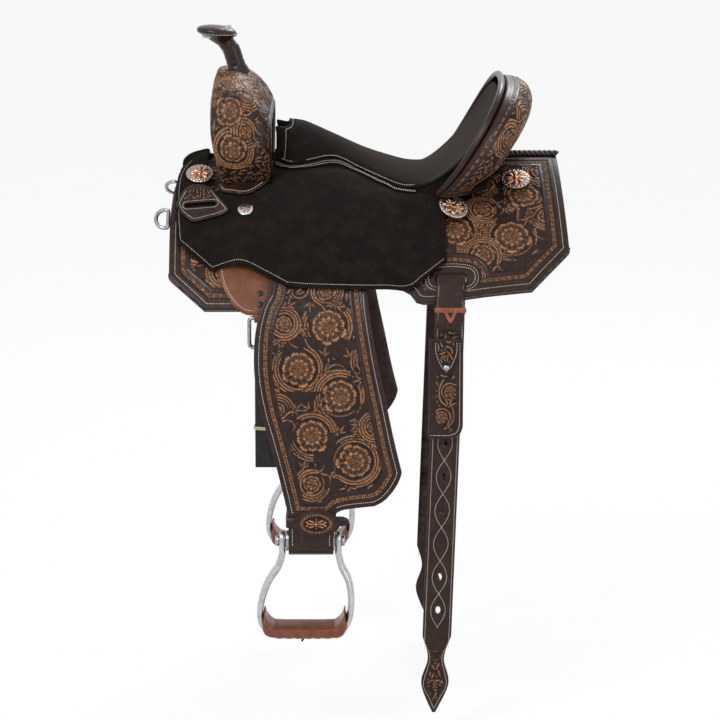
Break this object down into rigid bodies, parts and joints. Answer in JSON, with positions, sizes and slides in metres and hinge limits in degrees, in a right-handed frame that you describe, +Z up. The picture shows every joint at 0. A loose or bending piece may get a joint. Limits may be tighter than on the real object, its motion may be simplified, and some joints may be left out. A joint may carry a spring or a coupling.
{
  "type": "barrel racing saddle",
  "caption": "Western barrel racing saddle with a deep suede seat, tall horn, tooled leather skirts and hanging fenders with aluminium barrel stirrups.",
  "frame": {"origin": "centre line at the ridge of the horse's back, under the saddle's middle", "axes": "+Z up, -X towards the horn, -Y the near (left) side"},
  "size_m": [0.6397, 0.578, 1.0466],
  "materials": {
    "tooled_leather": "satin",
    "fleece": "matte",
    "suede": "matte",
    "seat_suede": "matte",
    "russet_leather": "satin",
    "tread_leather": "satin",
    "tree_wood": "matte",
    "seat_foam": "matte",
    "silver": "polished",
    "aluminium": "satin",
    "steel": "satin",
    "strap_leather": "satin",
    "lacing": "satin"
  },
  "bodies": {
    "saddle": {"cantle_back": "tooled_leather", "cantle_binding": "tooled_leather", "front_concho_left": "silver", "front_concho_right": "silver", "ground_seat": "russet_leather", "horn_post": "steel", "horn_wrap": "tooled_leather", "jockey_left": "suede", "jockey_right": "suede", "latigo_keeper_left": "tooled_leather", "latigo_keeper_right": "tooled_leather", "rear_concho_left": "silver", "rear_concho_right": "silver", "rigging_leather_left": "russet_leather", "rigging_leather_right": "russet_leather", "screw_concho_left": "silver", "screw_concho_right": "silver", "seat_cover": "seat_suede", "seat_edging_left": "seat_suede", "seat_edging_right": "seat_suede", "seat_foam": "seat_foam", "skirt_concho_left": "silver", "skirt_concho_right": "silver", "skirt_lacing": "lacing", "skirt_left": "tooled_leather", "skirt_lining_left": "fleece", "skirt_lining_right": "fleece", "skirt_right": "tooled_leather", "swell_cover": "tooled_leather", "tree_bar_left": "tree_wood", "tree_bar_right": "tree_wood", "tree_cantle": "tree_wood", "tree_fork": "tree_wood"},
    "stirrup_leather_left": {"stirrup_leather_left": "tooled_leather"},
    "fender_left": {"fender_left": "tooled_leather", "hobble_strap_left": "tooled_leather", "stirrup_bolt_left": "steel"},
    "stirrup_left": {"stirrup_frame_left": "aluminium", "stirrup_tread_left": "tread_leather"},
    "rigging_ring_left": {"rigging_dee_left": "steel"},
    "breast_dee_left": {"breast_dee_left": "steel"},
    "latigo_left": {"latigo_left": "strap_leather"},
    "billet_left": {"billet_left": "tooled_leather", "billet_lace_left": "russet_leather", "billet_pouch_left": "tooled_leather"},
    "pouch_flap_left": {"pouch_flap_left": "tooled_leather"},
    "stirrup_leather_right": {"stirrup_leather_right": "tooled_leather"},
    "fender_right": {"fender_right": "tooled_leather", "hobble_strap_right": "tooled_leather", "stirrup_bolt_right": "steel"},
    "stirrup_right": {"stirrup_frame_right": "aluminium", "stirrup_tread_right": "tread_leather"},
    "rigging_ring_right": {"rigging_dee_right": "steel"},
    "breast_dee_right": {"breast_dee_right": "steel"},
    "off_billet_right": {"off_billet_right": "strap_leather"},
    "billet_right": {"billet_right": "tooled_leather", "billet_lace_right": "russet_leather"}
  },
  "joints": [
    {"name": "fender_swing_left", "type": "hinge", "parent": "saddle", "child": "stirrup_leather_left", "pos_m": [-0.0765, -0.18352, -0.08413], "axis": [0, -0.8472, 0.5313], "range_deg": [-4.5, 4.5]},
    {"name": "fender_lift_left", "type": "hinge", "parent": "stirrup_leather_left", "child": "fender_left", "pos_m": [-0.0765, -0.25121, -0.16313], "axis": [-1, 0, 0], "range_deg": [0, 60]},
    {"name": "stirrup_turn_left", "type": "hinge", "parent": "fender_left", "child": "stirrup_left", "pos_m": [-0.0765, -0.26128, -0.547], "axis": [-1, 0, 0], "range_deg": [-50, 50]},
    {"name": "ring_swing_left", "type": "hinge", "parent": "saddle", "child": "rigging_ring_left", "pos_m": [-0.1405, -0.24958, -0.19927], "axis": [-1, 0, 0], "range_deg": [-15, 4]},
    {"name": "latigo_swing", "type": "hinge", "parent": "rigging_ring_left", "child": "latigo_left", "pos_m": [-0.1405, -0.24958, -0.24527], "axis": [-1, 0, 0], "range_deg": [-15, 4]},
    {"name": "breast_dee_lift_left", "type": "hinge", "parent": "saddle", "child": "breast_dee_left", "pos_m": [-0.2957, -0.14698, -0.06496], "axis": [0, 0.7776, 0.6288], "range_deg": [0, 60]},
    {"name": "billet_lift_left", "type": "hinge", "parent": "saddle", "child": "billet_left", "pos_m": [0.139, -0.22117, -0.14535], "axis": [-1, 0, 0], "range_deg": [0, 50]},
    {"name": "pouch_flap_lift", "type": "hinge", "parent": "billet_left", "child": "pouch_flap_left", "pos_m": [0.139, -0.28119, -0.22599], "axis": [-1, 0, 0], "range_deg": [0, 105]},
    {"name": "fender_swing_right", "type": "hinge", "parent": "saddle", "child": "stirrup_leather_right", "pos_m": [-0.0765, 0.18352, -0.08413], "axis": [0, 0.8472, 0.5313], "range_deg": [-4.5, 4.5]},
    {"name": "fender_lift_right", "type": "hinge", "parent": "stirrup_leather_right", "child": "fender_right", "pos_m": [-0.0765, 0.25121, -0.16313], "axis": [1, 0, 0], "range_deg": [0, 60]},
    {"name": "stirrup_turn_right", "type": "hinge", "parent": "fender_right", "child": "stirrup_right", "pos_m": [-0.0765, 0.26128, -0.547], "axis": [1, 0, 0], "range_deg": [-50, 50]},
    {"name": "ring_swing_right", "type": "hinge", "parent": "saddle", "child": "rigging_ring_right", "pos_m": [-0.1405, 0.24958, -0.19927], "axis": [1, 0, 0], "range_deg": [-15, 4]},
    {"name": "off_billet_swing", "type": "hinge", "parent": "rigging_ring_right", "child": "off_billet_right", "pos_m": [-0.1405, 0.24958, -0.24527], "axis": [1, 0, 0], "range_deg": [-15, 4]},
    {"name": "breast_dee_lift_right", "type": "hinge", "parent": "saddle", "child": "breast_dee_right", "pos_m": [-0.2957, 0.14698, -0.06496], "axis": [0, 0.7776, -0.6288], "range_deg": [0, 60]},
    {"name": "billet_lift_right", "type": "hinge", "parent": "saddle", "child": "billet_right", "pos_m": [0.139, 0.22117, -0.14535], "axis": [1, 0, 0], "range_deg": [0, 50]}
  ]
}
